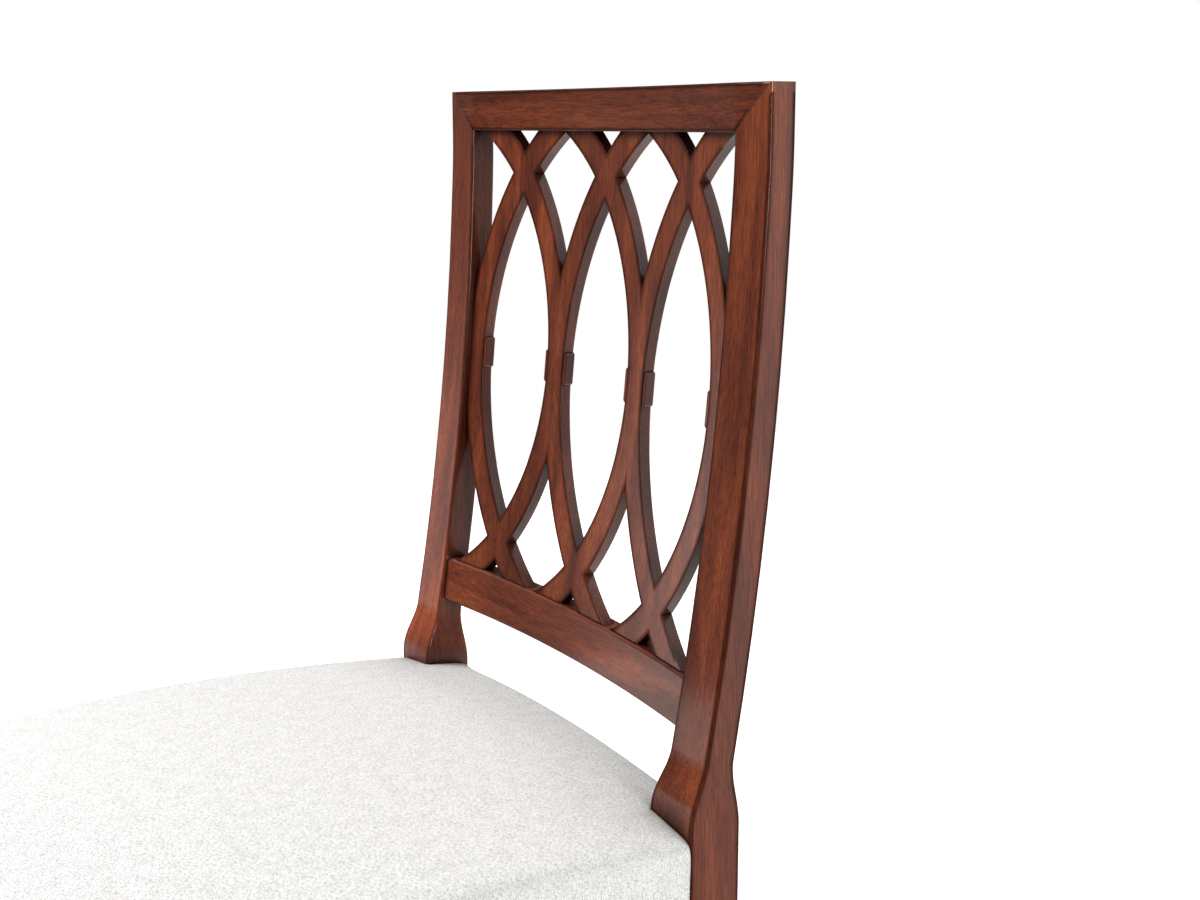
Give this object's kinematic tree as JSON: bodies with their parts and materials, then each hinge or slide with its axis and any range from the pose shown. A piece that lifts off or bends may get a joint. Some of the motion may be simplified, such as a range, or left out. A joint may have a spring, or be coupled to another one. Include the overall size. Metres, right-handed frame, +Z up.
{
  "type": "side chair",
  "caption": "Wooden side chair with a bowed back of interlaced ovals between mitred posts, square tapered front legs and a crowned upholstered seat.",
  "frame": {"origin": "floor level, under the middle of the chair's overall width and depth", "axes": "+X to the right of someone facing the front, +Y towards the back, +Z up"},
  "size_m": [0.5258, 0.5432, 0.99],
  "materials": {
    "mahogany": "dark red-brown stain, satin lacquer",
    "frame_wood": "bare planed hardwood",
    "plywood": "bare plywood",
    "foam": "open-cell foam",
    "ivory_fabric": "fine plain linen weave",
    "dust_cloth": "black non-woven cloth",
    "steel": "zinc plated",
    "glide_plastic": "moulded dark brown"
  },
  "bodies": {
    "root": {"back_post_left": "mahogany", "back_post_right": "mahogany", "crest_rail": "mahogany", "lower_back_rail": "mahogany", "front_leg_left": "mahogany", "front_leg_right": "mahogany", "lattice_arc_1": "mahogany", "lattice_arc_2": "mahogany", "lattice_arc_3": "mahogany", "lattice_arc_4": "mahogany", "lattice_arc_5": "mahogany", "lattice_arc_6": "mahogany", "neck_blocks_1": "mahogany", "neck_blocks_2": "mahogany", "neck_blocks_3": "mahogany", "neck_blocks_4": "mahogany", "front_seat_rail": "frame_wood", "rear_seat_rail": "frame_wood", "side_seat_rail_left": "frame_wood", "side_seat_rail_right": "frame_wood", "rail_dowels": "frame_wood", "mitre_splines": "frame_wood", "corner_block_front_left": "frame_wood", "corner_block_front_right": "frame_wood", "corner_block_rear_left": "frame_wood", "corner_block_rear_right": "frame_wood", "seat_deck": "plywood", "seat_foam": "foam", "seat_cover": "ivory_fabric", "dust_cover": "dust_cloth", "corner_block_screws": "steel", "deck_screws": "steel", "leg_glides": "glide_plastic"}
  },
  "joints": []
}
